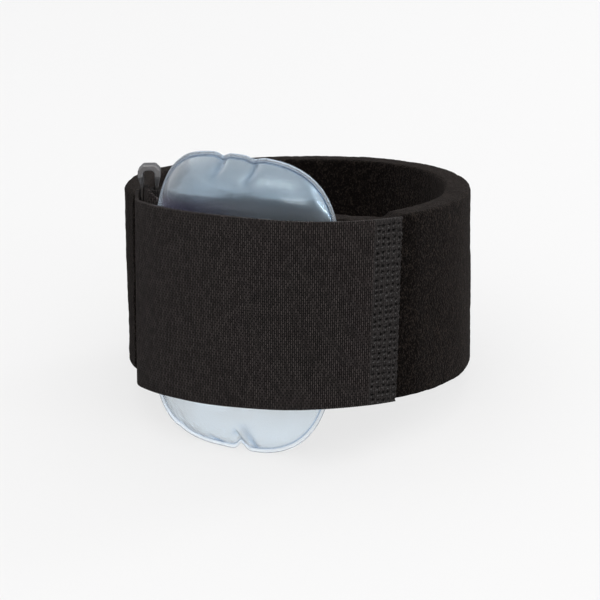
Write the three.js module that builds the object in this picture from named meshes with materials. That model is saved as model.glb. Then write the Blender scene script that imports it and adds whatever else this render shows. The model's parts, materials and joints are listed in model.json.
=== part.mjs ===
// Tennis elbow support: a foam forearm band closed by a hook strap that runs through a plastic ring
// and back over an inflated clear pad. Millimetres, +Z up.
//
// The cuff is drawn upright about its own axis, with the pad in front at -Y, and then laid on the
// surface as it rests by itself: leaning back on the pad's lower lobes and the band's rear edge.

import * as THREE from 'three';

const { degToRad, lerp, radToDeg, smoothstep } = THREE.MathUtils;

// Clearance between pieces that touch
const GAP = 0.3;

// Straight pieces for each station, so that stations lie evenly along a curve
const LENGTH_STEPS = 40;

// Foam band. Turn is in degrees from the front, counted leftwards and round the back;
// outer is the radius of the outer face; dip lowers the top edge, most where the strap pulls on it.
const BAND_HEIGHT = 51;
const BAND_WALL = 7.4;
const BAND_EDGE_ROUND = 1.2;
const BAND_ROUND_STEPS = 3;
const BAND_STATIONS = 104;
const BAND_ROWS = [
  { turn: 74.5, outer: 49.2, dip: -0.6 },
  { turn: 90, outer: 50.4, dip: -0.8 },
  { turn: 120, outer: 52.9, dip: -0.7 },
  { turn: 150, outer: 51.4, dip: 0 },
  { turn: 180, outer: 50.2, dip: 0 },
  { turn: 210, outer: 51.0, dip: 0 },
  { turn: 240, outer: 49.9, dip: 0 },
  { turn: 270, outer: 49.2, dip: 0 },
  { turn: 300, outer: 51.4, dip: 0 },
  { turn: 322, outer: 53.1, dip: 0 },
  { turn: 328, outer: 53.1, dip: 0.1 },
  { turn: 331.5, outer: 52.8, dip: 1.5 },
  { turn: 342, outer: 50.4, dip: 0.9 },
  { turn: 351, outer: 46.8, dip: 0.2 },
  { turn: 362, outer: 42.6, dip: 0 },
  { turn: 376, outer: 39.2, dip: 0 },
  { turn: 390, outer: 37.7, dip: 0 },
  { turn: 407, outer: 38.0, dip: 0 },
];

// Plastic ring in the strap's fold: a wider head stands above the strap, and the bars below it sit back
// in the fold. Its lean is sideways for each millimetre up, and all that lies beside it shares the lean.
const RING_HEAD_WIDTH = 6.2;
const RING_WIDTH = 5.0;
const RING_SIDE_BAR = 0.9;
const RING_END_BAR = 1.6;
const RING_TOP = 35.7;
const RING_HEAD_LOW = 32.3;
const RING_NECK = 29.7;
const RING_BOTTOM = -28.4;
const RING_THICK = 5.0;
const RING_CHAMFER = 1.4;
const RING_FOOT_CHAMFER = 0.8;
const RING_SLOT_CHAMFER = 0.7;
const RING_BEVEL = 0.25;
const RING_RECESS = 2.2;
const RING_CENTRE = new THREE.Vector2(-42.4, -18.5);
const RING_LEAN = 0.025;
const LEAN_FULL = 7;
const LEAN_GONE = 24;

// Closure strap. Radius is that of the strap's middle layer. Its edges ride up where it runs through
// the ring's slot and draw in towards the welded free end.
const STRAP_THICK = 1.2;
const STRAP_WELD_THICK = 1.0;
const STRAP_WELD_LENGTH = 8.5;
const STRAP_EDGE_ROUND = 0.35;
const STRAP_TAPER_FROM = 0.5;
const STRAP_STATIONS = 96;
const STRAP_FOLD_STEPS = 6;
const STRAP_RISE_LENGTH = 6;
const STRAP_TOP = { side: 26.4, slot: 29.3, end: 25.2 };
const STRAP_BOTTOM = { side: -26.2, slot: -24.4, end: -25.7 };
const STRAP_END_SLANT = 2.6;
const STRAP_TAIL_ROWS = [
  { turn: 26, radius: 39.2 },
  { turn: 34, radius: 39.4 },
  { turn: 42, radius: 39.6 },
  { turn: 50, radius: 41.0 },
  { turn: 57, radius: 43.6 },
  { turn: 60.5, radius: 46.7 },
];
const STRAP_FRONT_ROWS = [
  { turn: 63, radius: 50.8 },
  { turn: 57, radius: 50.6 },
  { turn: 50, radius: 50.3 },
  { turn: 35, radius: 49.9 },
  { turn: 20.7, radius: 50.2 },
  { turn: 4.3, radius: 52.3 },
  { turn: -8.5, radius: 53.4 },
  { turn: -20, radius: 54.0 },
  { turn: -30.5, radius: 54.1 },
];

// Webbing tab that ties the ring to the band's inner face. Its top rides up to the ring.
const TAB_THICK = 1.0;
const TAB_TOP = { band: 24.2, ring: 28.9 };
const TAB_BOTTOM = -24;
const TAB_RISE_LENGTH = 6;
const TAB_LENGTH = 18;
const TAB_STATIONS = 36;
const TAB_FOLD_STEPS = 5;

// Air pad. Across runs along the curve of the pad, up is its height; both from the pad's centre.
// The shoulder is how much further it reaches at its upper left.
const PAD_HALF_WIDTH = 28.6;
const PAD_SHOULDER = 1.3;
const PAD_RISE = 0.65;
const PAD_RADIUS = 46.5;
const PAD_HALF_HEIGHT = 41.4;
const PAD_SQUARENESS = 3.4;
const PAD_TURN = 23.6;
const PAD_TWIST = 3.6;
const PAD_FLANGE = 1.2;
const PAD_FLANGE_THICK = 0.8;
const PAD_BOW = 11;
const PAD_CREASE_DEPTH = 0.3;
const PAD_FREE_SWELL = 6.8;
const PAD_FREE_FROM = 25.6;
const PAD_FREE_FULL = 32;
const PAD_SIDES = 84;
const PAD_RINGS = [0.3, 0.58, 0.66, 0.72, 0.79, 0.86, 0.92, 0.96];
// Middle radius of the pad and how far it may swell each way between the strap and the band
const PAD_ROWS = [
  { turn: 62, middle: 48.8, front: 0.8, back: 1.2 },
  { turn: 55, middle: 47.0, front: 2.2, back: 1.8 },
  { turn: 45, middle: 45.2, front: 3.5, back: 3.0 },
  { turn: 30, middle: 44.4, front: 4.3, back: 3.8 },
  { turn: 20, middle: 44.6, front: 4.3, back: 4.6 },
  { turn: 5, middle: 46.6, front: 4.3, back: 4.0 },
  { turn: -5, middle: 48.8, front: 3.1, back: 2.6 },
  { turn: -13, middle: 50.3, front: 1.9, back: 1.2 },
];
// Puckers where the weld gathers: end is +1 at the top and -1 at the bottom
const PAD_PUCKERS = [
  { end: 1, across: -5.2, depth: 1.3, reach: 2.2, crease: 9 },
  { end: 1, across: 4.6, depth: 1.3, reach: 2.4, crease: 9 },
  { end: -1, across: 3.6, depth: 2.0, reach: 1.8, crease: 7 },
  { end: -1, across: -17.0, depth: 0.6, reach: 1.4, crease: 4 },
];

// Resting lean: degrees that the cuff tips, about a horizontal axis at this heading from +X
const REST_LEAN = -9.35;
const REST_HEADING = -12.29;

const UP = new THREE.Vector3(0, 0, 1);

// Plan point at a turn and radius
function plan({ turn, radius }) {
  const angle = degToRad(turn);
  return new THREE.Vector3(-radius * Math.sin(angle), -radius * Math.cos(angle), 0);
}

// Value of one column of a table of rows at a turn, straight between the rows
function column(rows, name, turn) {
  const forwards = rows[0].turn < rows[rows.length - 1].turn;
  const sorted = forwards ? rows : [...rows].reverse();
  const next = sorted.findIndex((row) => row.turn > turn);
  if (next === 0) return sorted[0][name];
  if (next < 0) return sorted[sorted.length - 1][name];
  const [low, high] = [sorted[next - 1], sorted[next]];
  return lerp(low[name], high[name], (turn - low.turn) / (high.turn - low.turn));
}

// Closed outline of a wall's section: offset across the wall and height, rounded at its corners
function wallOutline(thick, bottom, top, round, steps) {
  const half = thick / 2;
  const corners = [
    { across: half - round, up: top - round, start: 0 },
    { across: round - half, up: top - round, start: 90 },
    { across: round - half, up: bottom + round, start: 180 },
    { across: half - round, up: bottom + round, start: 270 },
  ];
  const outline = [];
  for (const { across, up, start } of corners) {
    for (let step = 0; step <= steps; step += 1) {
      const angle = degToRad(start + (90 * step) / steps);
      outline.push([across + round * Math.cos(angle), up + round * Math.sin(angle)]);
    }
  }
  return outline;
}

// One closed body from a list of points and triangles, with its faces pointing out
function closedBody(points, triangles) {
  const signedVolume = triangles.reduce((sum, [a, b, c]) => {
    const normal = points[b].clone().cross(points[c]);
    return sum + points[a].dot(normal);
  }, 0);
  const turned = triangles.map(([a, b, c]) => (signedVolume > 0 ? [a, b, c] : [a, c, b]));
  const geometry = new THREE.BufferGeometry().setFromPoints(points);
  geometry.setIndex(turned.flat());
  geometry.computeVertexNormals();
  return geometry;
}

// Triangles between one section and the next, each a closed run of equally many points
function between(row, nextRow, count) {
  const triangles = [];
  for (let i = 0; i < count; i += 1) {
    const next = (i + 1) % count;
    const [a, b] = [row * count + i, row * count + next];
    const [c, d] = [nextRow * count + i, nextRow * count + next];
    triangles.push([a, b, d], [a, d, c]);
  }
  return triangles;
}

// Closed body through sections that follow each other in a loop
function loopSkin(sections) {
  const count = sections[0].length;
  const triangles = sections.flatMap((_, row) => between(row, (row + 1) % sections.length, count));
  return closedBody(sections.flat(), triangles);
}

// Closed body through a run of sections, with a fan on each end
function skin(sections) {
  const count = sections[0].length;
  const points = sections.flat();
  const last = (sections.length - 1) * count;
  const triangles = sections.slice(1).flatMap((_, row) => between(row, row + 1, count));
  for (let i = 1; i + 1 < count; i += 1) {
    triangles.push([0, i + 1, i], [last, last + i, last + i + 1]);
  }
  return closedBody(points, triangles);
}

// Lean a piece sideways with the ring, fully beside it and not at all further round the cuff
function leanWithRing(geometry) {
  const places = geometry.attributes.position;
  for (let i = 0; i < places.count; i += 1) {
    const away = Math.hypot(places.getX(i) - RING_CENTRE.x, places.getY(i) - RING_CENTRE.y);
    const share = 1 - smoothstep(away, LEAN_FULL, LEAN_GONE);
    places.setX(i, places.getX(i) + RING_LEAN * share * places.getZ(i));
  }
  geometry.computeVertexNormals();
  return geometry;
}

// Level direction square to a plan curve, to the right of its run
function sideways(curve, share) {
  return curve.getTangentAt(share).cross(UP).normalize();
}

// Upright wall along a plan curve; outlineAt gives the section at a share of the curve's length,
// and lagAt how much of that share a point at some height falls behind
function uprightWall(curve, stations, outlineAt, lagAt = () => 0) {
  curve.arcLengthDivisions = LENGTH_STEPS * stations;
  const sections = [];
  for (let station = 0; station <= stations; station += 1) {
    const share = station / stations;
    const place = ([across, up]) => {
      const own = share - lagAt(share, up);
      return curve.getPointAt(own).addScaledVector(sideways(curve, own), across).setZ(up);
    };
    sections.push(outlineAt(share).map(place));
  }
  return skin(sections);
}

// Turn of a plan point on the band, counted on past a full circle inside the free end
function bandTurn(curve, share) {
  const point = curve.getPointAt(share);
  const turn = radToDeg(Math.atan2(-point.x, -point.y));
  const first = BAND_ROWS[0].turn;
  const last = BAND_ROWS[BAND_ROWS.length - 1].turn;
  const near = lerp(first, last, share);
  return turn + 360 * Math.round((near - turn) / 360);
}

function bandCurve() {
  const middle = BAND_ROWS.map(({ turn, outer }) => plan({ turn, radius: outer - BAND_WALL / 2 }));
  const curve = new THREE.CatmullRomCurve3(middle);
  curve.arcLengthDivisions = LENGTH_STEPS * BAND_STATIONS;
  return curve;
}

function foamBand() {
  const curve = bandCurve();
  return uprightWall(curve, BAND_STATIONS, (share) => {
    const dip = column(BAND_ROWS, 'dip', bandTurn(curve, share));
    const half = BAND_HEIGHT / 2;
    return wallOutline(BAND_WALL, -half, half - dip, BAND_EDGE_ROUND, BAND_ROUND_STEPS);
  });
}

// Centre of one of the ring's side bars: side is -1 on the strap's side and +1 on the tab's
function ringBar(side) {
  const offset = (side * (RING_WIDTH - RING_SIDE_BAR)) / 2;
  return new THREE.Vector3(RING_CENTRE.x + offset, RING_CENTRE.y, 0);
}

// Run of a strip round a side bar: along the bar's near side, over one of its ends, which is +1 at
// the back and -1 at the front, and along its far side. It enters from the slot.
function aroundBar(side, end, thick, steps) {
  const bar = ringBar(side);
  const halfBar = RING_SIDE_BAR / 2;
  const radius = halfBar + GAP + thick / 2;
  const straight = RING_THICK / 2 - halfBar;
  const points = [];
  for (let step = 0; step <= steps; step += 1) {
    const angle = Math.PI * (step / steps);
    const x = bar.x - side * radius * Math.cos(angle);
    const y = bar.y + end * (straight + radius * Math.sin(angle));
    points.push(new THREE.Vector3(x, y, 0));
  }
  const nearStart = points[0].clone().setY(bar.y - end * straight);
  const farEnd = points[steps].clone().setY(bar.y - end * straight);
  return [nearStart, ...points, farEnd];
}

function closureStrap() {
  const fold = aroundBar(-1, 1, STRAP_THICK, STRAP_FOLD_STEPS);
  const tail = STRAP_TAIL_ROWS.map(plan);
  const front = STRAP_FRONT_ROWS.map(plan);
  const curve = new THREE.CatmullRomCurve3([...tail, ...fold, ...front]);
  const length = curve.getLength();
  const weldFrom = 1 - STRAP_WELD_LENGTH / length;
  const shareAt = (points) => new THREE.CatmullRomCurve3(points).getLength() / length;
  const halfFold = (fold.length + 1) / 2;
  const [slotStart, foldBack, foldEnd] = [1, halfFold, fold.length].map((count) => (
    shareAt([...tail, ...fold.slice(0, count)])
  ));
  const riseFrom = slotStart - STRAP_RISE_LENGTH / length;
  const inSlot = (share) => (
    smoothstep(share, riseFrom, slotStart) * (1 - smoothstep(share, foldBack, foldEnd))
  );
  const towardsEnd = (share) => smoothstep(share, STRAP_TAPER_FROM, 1);
  const edgeAt = (share, edge) => (
    lerp(lerp(edge.side, edge.slot, inSlot(share)), edge.end, towardsEnd(share))
  );
  const outlineAt = (share) => {
    const thick = share > weldFrom ? STRAP_WELD_THICK : STRAP_THICK;
    const [bottom, top] = [edgeAt(share, STRAP_BOTTOM), edgeAt(share, STRAP_TOP)];
    return wallOutline(thick, bottom, top, STRAP_EDGE_ROUND, 1);
  };
  const slant = STRAP_END_SLANT / length / (STRAP_TOP.end - STRAP_BOTTOM.end);
  const lagAt = (share, up) => slant * (STRAP_TOP.end - up) * towardsEnd(share);
  return uprightWall(curve, STRAP_STATIONS, outlineAt, (share, up) => Math.max(0, lagAt(share, up)));
}

// Closed outline that is the same left and right, from its right half listed upwards
function mirrored(rightHalf) {
  return [...rightHalf, ...rightHalf.map(([x, z]) => [-x, z]).reverse()];
}

// The ring as one bevelled bar in a loop: its outer outline and its slot have matching points
function strapRing() {
  const foot = RING_WIDTH / 2;
  const head = RING_HEAD_WIDTH / 2;
  const outer = mirrored([
    [foot - RING_FOOT_CHAMFER, RING_BOTTOM],
    [foot, RING_BOTTOM + RING_FOOT_CHAMFER],
    [foot, RING_NECK],
    [head, RING_HEAD_LOW],
    [head, RING_TOP - RING_CHAMFER],
    [head - RING_CHAMFER, RING_TOP],
  ]);
  const slot = foot - RING_SIDE_BAR;
  const [slotLow, slotHigh] = [RING_BOTTOM + RING_END_BAR, RING_TOP - RING_END_BAR];
  const inner = mirrored([
    [slot - RING_SLOT_CHAMFER, slotLow],
    [slot, slotLow + RING_SLOT_CHAMFER],
    [slot, RING_NECK],
    [slot, RING_HEAD_LOW],
    [slot, slotHigh - RING_SLOT_CHAMFER],
    [slot - RING_SLOT_CHAMFER, slotHigh],
  ]);
  const sections = outer.map(([x, z], i) => {
    const [slotX, slotZ] = inner[i];
    const bevel = RING_BEVEL / Math.hypot(slotX - x, slotZ - z);
    const at = (share, depth) => new THREE.Vector3(
      RING_CENTRE.x + lerp(x, slotX, share),
      RING_CENTRE.y + depth,
      lerp(z, slotZ, share),
    );
    const front = (z > RING_NECK ? 0 : RING_RECESS) - RING_THICK / 2;
    const back = RING_THICK / 2;
    return [
      at(0, front + RING_BEVEL),
      at(bevel, front),
      at(1 - bevel, front),
      at(1, front + RING_BEVEL),
      at(1, back - RING_BEVEL),
      at(1 - bevel, back),
      at(bevel, back),
      at(0, back - RING_BEVEL),
    ];
  });
  return loopSkin(sections);
}

function ringTab() {
  const band = bandCurve();
  const bandLength = band.getLength();
  const onBand = (distance, layer) => {
    const share = distance / bandLength;
    const inward = sideways(band, share);
    const offset = BAND_WALL / 2 + layer * (GAP + TAB_THICK) - TAB_THICK / 2;
    return band.getPointAt(share).addScaledVector(inward, offset);
  };
  const distances = [TAB_LENGTH, TAB_LENGTH / 2, 0];
  const under = distances.map((distance) => onBand(distance, 1));
  const over = distances.map((distance) => onBand(distance, 2)).reverse();
  const fold = aroundBar(1, -1, TAB_THICK, TAB_FOLD_STEPS);
  const curve = new THREE.CatmullRomCurve3([...under, ...fold, ...over]);
  const length = curve.getLength();
  const rise = TAB_RISE_LENGTH / length;
  const [foldStart, foldEnd] = [1, fold.length].map((count) => (
    new THREE.CatmullRomCurve3([...under, ...fold.slice(0, count)]).getLength() / length
  ));
  return uprightWall(curve, TAB_STATIONS, (share) => {
    const risen = smoothstep(share, foldStart - rise, foldStart);
    const fallen = smoothstep(share, foldEnd, foldEnd + rise);
    const top = lerp(TAB_TOP.band, TAB_TOP.ring, risen - fallen);
    return wallOutline(TAB_THICK, TAB_BOTTOM, top, STRAP_EDGE_ROUND, 1);
  });
}

// Distance from the pad's centre to its welded edge at an angle, with the puckers pulled in
function padReach(angle) {
  const shoulder = Math.cos(angle) < 0 ? PAD_SHOULDER * Math.max(0, Math.sin(angle)) : 0;
  const across = Math.abs(Math.cos(angle)) / (PAD_HALF_WIDTH + shoulder);
  const up = Math.abs(Math.sin(angle)) / PAD_HALF_HEIGHT;
  const smooth = (across ** PAD_SQUARENESS + up ** PAD_SQUARENESS) ** (-1 / PAD_SQUARENESS);
  return PAD_PUCKERS.reduce((reach, pucker) => {
    const off = (smooth * Math.cos(angle) - pucker.across) / pucker.reach;
    const onEnd = Math.sin(angle) * pucker.end > 0;
    return onEnd ? reach - pucker.depth * Math.exp(-off * off) : reach;
  }, smooth);
}

// Share of its swell that the pad keeps near the creases that run in from the puckers
function padCrease(across, up, edgeDistance) {
  return PAD_PUCKERS.reduce((keep, { end, across: at, reach, crease }) => {
    const off = (across - at) / reach;
    const depth = PAD_CREASE_DEPTH * Math.exp(-off * off - edgeDistance / crease);
    return up * end > 0 ? keep * (1 - depth) : keep;
  }, 1);
}

// Pad surface point: side is +1 on the strap's face and -1 on the band's
function padPoint(angle, share, side) {
  const reach = padReach(angle);
  const across = share * reach * Math.cos(angle);
  const up = share * reach * Math.sin(angle);
  const twist = degToRad(PAD_TWIST);
  const z = PAD_RISE + up * Math.cos(twist) - across * Math.sin(twist);
  const along = across * Math.cos(twist) + up * Math.sin(twist);
  const turn = PAD_TURN - radToDeg(along / PAD_RADIUS);
  const pinch = column(PAD_ROWS, side > 0 ? 'front' : 'back', turn);
  const swell = lerp(pinch, PAD_FREE_SWELL, smoothstep(Math.abs(z), PAD_FREE_FROM, PAD_FREE_FULL));
  const edgeDistance = (1 - share) * reach;
  const inside = Math.max(0, edgeDistance - PAD_FLANGE);
  const bow = Math.sqrt(1 - (1 - Math.min(1, inside / PAD_BOW)) ** 2);
  const film = PAD_FLANGE_THICK / 2;
  const lift = film + (swell - film) * bow * padCrease(across, up, edgeDistance);
  const radius = column(PAD_ROWS, 'middle', turn) + side * lift;
  return plan({ turn, radius }).setZ(z);
}

function airPad() {
  const angles = Array.from({ length: PAD_SIDES }, (_, i) => (2 * Math.PI * i) / PAD_SIDES);
  const ringAt = (share, side) => angles.map((angle) => padPoint(angle, share, side));
  const weld = 1 - PAD_FLANGE / PAD_HALF_HEIGHT;
  const shares = [...PAD_RINGS, weld, 1];
  const front = shares.map((share) => ringAt(share, 1));
  const back = shares.map((share) => ringAt(share, -1)).reverse();
  return skin([...front, ...back]);
}

function piece(name, geometry, color, roughness) {
  const material = new THREE.MeshStandardMaterial({ color, roughness, metalness: 0 });
  const mesh = new THREE.Mesh(leanWithRing(geometry), material);
  mesh.name = name;
  return mesh;
}

const cuff = new THREE.Group();
cuff.add(piece('foam_band', foamBand(), '#1d1917', 0.95));
cuff.add(piece('closure_strap', closureStrap(), '#2b2827', 0.8));
cuff.add(piece('ring_tab', ringTab(), '#201d1c', 0.9));
cuff.add(piece('strap_ring', strapRing(), '#5b5a5b', 0.45));
cuff.add(piece('air_pad', airPad(), '#b4cbdb', 0.15));

// Lay the cuff down: lean it, then set its lowest point on the surface and its box on the origin
const heading = degToRad(REST_HEADING);
const leanAxis = new THREE.Vector3(Math.cos(heading), Math.sin(heading), 0);
cuff.quaternion.setFromAxisAngle(leanAxis, degToRad(REST_LEAN));
cuff.updateMatrixWorld(true);
const box = new THREE.Box3().setFromObject(cuff, true);
const middle = box.getCenter(new THREE.Vector3());
cuff.position.set(-middle.x, -middle.y, -box.min.z);

const support = new THREE.Group();
support.add(cuff);

export default support;
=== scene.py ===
"""Tennis elbow support: its looks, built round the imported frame.

The cuff is drawn upright about its own axis, in millimetres, with the pad in front at -Y. Turn is in
degrees from the front, counted leftwards and round the back. set_down() then leans the points as the
cuff rests and makes them metres. The floor and the lights are placed in metres.
"""

import json
import math

import bpy
import numpy as np
from mathutils import Matrix, Vector, noise


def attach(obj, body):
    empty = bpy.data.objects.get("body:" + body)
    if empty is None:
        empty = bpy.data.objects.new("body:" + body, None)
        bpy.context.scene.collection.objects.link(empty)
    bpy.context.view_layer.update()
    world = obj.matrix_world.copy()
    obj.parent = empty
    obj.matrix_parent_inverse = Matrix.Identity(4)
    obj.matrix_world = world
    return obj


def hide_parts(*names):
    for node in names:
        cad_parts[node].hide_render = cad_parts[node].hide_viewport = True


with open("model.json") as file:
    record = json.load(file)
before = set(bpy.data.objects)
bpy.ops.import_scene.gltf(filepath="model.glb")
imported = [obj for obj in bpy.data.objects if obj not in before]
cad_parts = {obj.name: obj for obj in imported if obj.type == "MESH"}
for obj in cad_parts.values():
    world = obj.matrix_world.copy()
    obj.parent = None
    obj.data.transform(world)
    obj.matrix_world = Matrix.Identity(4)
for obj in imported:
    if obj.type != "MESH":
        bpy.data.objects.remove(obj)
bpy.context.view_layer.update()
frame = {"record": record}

MM = 0.001

# The cuff's own axis and centre, as the frame places them
forearm = next(m for m in frame["record"]["mounts"] if m["name"] == "forearm")
LEAN = Vector((0, 0, 1)).rotation_difference(Vector(forearm["axis"])).to_matrix()
REST = Matrix.Translation(forearm["pos_m"]) @ LEAN.to_4x4()

# Clearance between pieces that touch
GAP = 0.3

# Foam band, and the share of its thickness that is lost at its two ends
BAND_HEIGHT = 51.0
BAND_WALL = 7.4
BAND_ROUND = 1.2
BAND_END_PINCH = 0.5
BAND_STEP = 0.8
BAND_CORNER_STEPS = 6
BAND_RIM_STEPS = 4
# Turn, radius of the outer face, dip of the top edge
BAND_TURNS, BAND_RADII, BAND_DIPS = np.array(
    [
        (74.5, 49.2, -0.6),
        (90, 50.4, -0.8),
        (120, 52.9, -0.7),
        (150, 51.4, 0),
        (180, 50.2, 0),
        (210, 51.0, 0),
        (240, 49.9, 0),
        (270, 49.2, 0),
        (300, 51.4, 0),
        (322, 53.1, 0),
        (328, 53.1, 0.1),
        (331.5, 52.8, 1.5),
        (342, 50.4, 0.9),
        (351, 46.8, 0.2),
        (362, 42.6, 0),
        (376, 39.2, 0),
        (390, 37.7, 0),
        (407, 38.0, 0),
    ]
).T
# Unevenness of the pile: size of the lumps and their height
PILE_LUMPS = ((14.0, 0.22), (4.0, 0.12), (1.5, 0.11))
# Sizes of the pile's loops, of their stray, of paler patches and of single hairs, how places are scaled for
# them, which makes them a little taller than wide, the colour of the knots and the painted shade in the
# hollows
PILE_LOOP = 0.52
PILE_STRAY = 0.7
PILE_PATCH = 1.4
PILE_HAIR = 0.22
PILE_SCALE = (1, 1, 0.8)
PILE_KNOT_COLOUR = (0.0158, 0.012, 0.0097)
PILE_HOLLOW_SHADE = (0.0014, 0.0009, 0.0007)

# Plastic ring in the strap's fold: a wider head stands above the strap, and the bars below it sit back in
# the fold. Its lean is sideways for each millimetre up, and all that lies beside the ring shares it.
RING_HEAD_WIDTH = 6.2
RING_WIDTH = 5.0
RING_SIDE_BAR = 0.9
RING_END_BAR = 1.6
RING_TOP = 35.7
RING_HEAD_LOW = 32.3
RING_NECK = 29.7
RING_BOTTOM = -28.4
RING_THICK = 5.0
RING_CHAMFER = 1.4
RING_FOOT_CHAMFER = 0.8
RING_SLOT_CHAMFER = 0.7
RING_BEVEL = 0.35
RING_RECESS = 2.2
RING_CENTRE = (-42.4, -18.5)
RING_LEAN = 0.025
LEAN_FULL = 7.0
LEAN_GONE = 24.0
# Heights between which the ring turns from the painted shade of the fold to its own grey, that painted shade
# and the grey
RING_SHADE_HEIGHTS = (29.0, 30.2)
RING_PAINTED_SHADE = (0.006, 0.0056, 0.0054)
RING_GREY = (0.088, 0.088, 0.091)

# Edges of the strap and the tab: corner radius, and steps round the corners and over the rims
STRIP_ROUND = 0.35
STRIP_CORNER_STEPS = 3
STRIP_RIM_STEPS = 2

# Closure strap. Up to a point of its fold, counted from the slot, it keeps its height in the slot.
STRAP_THICK = 1.2
STRAP_TAPER_FROM = 0.5
STRAP_RISE_LENGTH = 6.0
STRAP_SLANT = 2.6
STRAP_FACE_STEPS = 14
STRAP_FOLD_STEPS = 6
STRAP_FOLD_KEPT = 3
# Heights of its edges along the sides, in the ring's slot and at its free end
STRAP_TOP = (26.4, 29.3, 25.2)
STRAP_BOTTOM = (-27.2, -26.3, -25.7)
STRAP_TALL = STRAP_TOP[0] - STRAP_BOTTOM[0]
# Turn and radius of its middle layer, behind the ring and in front of the pad
STRAP_TAIL_ROWS = (
    (26, 39.2),
    (34, 39.4),
    (42, 39.6),
    (50, 41.0),
    (57, 43.6),
    (60.5, 46.7),
)
STRAP_FRONT_ROWS = (
    (63, 50.8),
    (57, 50.6),
    (50, 50.3),
    (35, 49.9),
    (20.7, 50.2),
    (4.3, 52.3),
    (-8.5, 53.4),
    (-20, 54.0),
    (-30.5, 54.1),
)
# Weave: upright ribs, the stitches along each rib, and how places on the tape are scaled for yarn and grain
RIB_PITCH = 0.57
RIB_HEIGHT = 0.12
RIB_SAMPLES = 4
STITCH_PITCH = 1.43
STITCH_GROOVE = 0.26
YARN_SCALE = (1, 0.4, 0)
GRAIN_SCALE = (1, 1, 0)
# Colours of the stitches, dark ones and light ones, and the painted shade in the grooves between them
STRAP_TONES_AND_SHADE = ((0.019, 0.0152, 0.0144), (0.0435, 0.036, 0.0344), (0.0003, 0.0003, 0.0003))
TAB_TONES_AND_SHADE = ((0.007, 0.006, 0.0057), (0.018, 0.0155, 0.0145), (0.0004, 0.0004, 0.0004))
WELD_TONES_AND_SHADE = ((0.014, 0.0121, 0.0119), (0.026, 0.0226, 0.0222), (0.003, 0.0026, 0.0025))

# Weld at the strap's free end: an uneven knurl of small pits, each with a bead of melted tape beside it.
# The first pit's place is in spacings. Pits stray from their places by millimetres, and from their depth
# by a share of it.
WELD_THICK = 1.0
WELD_LENGTH = 8.5
WELD_STEP = 0.18
PIT_COLUMNS = 5
PIT_ROWS = 27
PIT_FROM = 0.5
PIT_FIRST = (0.5, 0.6)
PIT_SPACING = (1.58, 1.85)
PIT_RADIUS = 0.32
PIT_DEPTH = 0.45
PIT_STRAY = 0.3
PIT_DEPTH_STRAY = 0.3
PIT_SEED = 7
BEAD_OFF = (-0.25, -0.55)
BEAD_RADIUS = 0.22
BEAD_HEIGHT = 0.08
# Relief over which pits darken with painted shade and beads turn pale, and their greys
PIT_SHADE = (-0.05, -0.2, 0.0003)
BEAD_SHADE = (0.02, 0.7 * BEAD_HEIGHT, 0.075)
# Values of the grain over which specks come up, and their colour
SPECK_GRAIN = (0.6, 0.72)
SPECK_COLOUR = (0.048, 0.044, 0.044)
# Ragged cut end: size, length over which it comes up, the rate and start of each wave up the cut, and how
# far inwards the waves lie
RAGGED_SIZE = 0.16
RAGGED_LENGTH = 2
RAGGED_WAVES = ((2.3, 0), (5.9, 1))
RAGGED_INWARD = 1

# Webbing tab that ties the ring to the band's inner face. Its top rides up from the band to the ring.
TAB_THICK = 1.0
TAB_TOP = (24.2, 28.9)
TAB_BOTTOM = -24.0
TAB_LENGTH = 18.0
TAB_RISE_LENGTH = 6.0
TAB_STEP = 0.6
TAB_FACE_STEPS = 24
TAB_FOLD_STEPS = 5

# Air pad: across runs along its curve and up is its height, both from its centre. The shoulder is how much
# further it reaches at its upper left.
PAD_HALF_WIDTH = 28.6
PAD_SHOULDER = 1.3
PAD_RISE = 0.65
PAD_RADIUS = 46.5
PAD_HALF_HEIGHT = 41.4
PAD_SQUARENESS = 3.4
PAD_TURN = 23.6
PAD_TWIST = math.radians(3.6)
PAD_FLANGE = 1.2
PAD_FILM = 0.26
PAD_BOW = 11.5
PAD_BOW_POWER = 0.85
# Heights where the lobes above and below the strap start to swell freely and are full, in front and behind
PAD_FREE_FRONT = (24.4, 31.5)
PAD_FREE_BACK = (27.0, 36.0)
# The lower lobe swells less than the upper one
PAD_LOWER_SHARE = 0.3
# Half the thickness of the welded rim, from its edge inwards to the groove beside the film
PAD_RIM = ((0, 0.08), (0.1, 0.27), (0.3, 0.4), (0.85, 0.4), (1.1, PAD_FILM), (1.3, PAD_FILM))
# Turn, radius of the pad's middle, swell held in by the strap and by the band, free swell in front and behind
PAD_TURNS, PAD_MIDDLES, HELD_FRONT, HELD_BACK, SWELL_FRONT, SWELL_BACK = np.array(
    [
        (-13, 50.3, 1.9, 1.2, 3.4, 4.6),
        (-5, 48.8, 3.1, 2.6, 4.8, 4.6),
        (5, 46.6, 4.3, 4.0, 6.2, 4.6),
        (20, 44.6, 4.3, 4.6, 6.8, 4.6),
        (30, 44.4, 4.3, 3.8, 6.8, 4.6),
        (45, 45.2, 3.5, 3.0, 6.4, 4.6),
        (55, 47.0, 2.2, 1.8, 5.4, 4.6),
        (62, 48.8, 0.8, 1.2, 4.4, 4.6),
    ]
).T
# Rings of points: those near the middle as shares of the way in from the edge; those on the slope by their
# offset from the flange, width, number and crowding towards the weld; and the points round each ring
PAD_MIDDLE_SHARES = (0.97, 0.85, 0.7, 0.55)
PAD_SLOPE_OFF = 0.1
PAD_SLOPE_WIDTH = 13
PAD_SLOPE_RINGS = 28
PAD_SLOPE_POWER = 1.5
PAD_SIDES = 520
# Puckers of the weld: end (+1 top, -1 bottom), across, depth, reach; the film is smooth again further in
PAD_PUCKER_FADE = 5.0
PAD_PUCKERS = (
    (1, -5.2, 0.85, 1.5),
    (1, 4.6, 0.75, 1.9),
    (-1, 3.6, 1.9, 1.5),
    (-1, -17.0, 0.2, 1.0),
)
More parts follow.
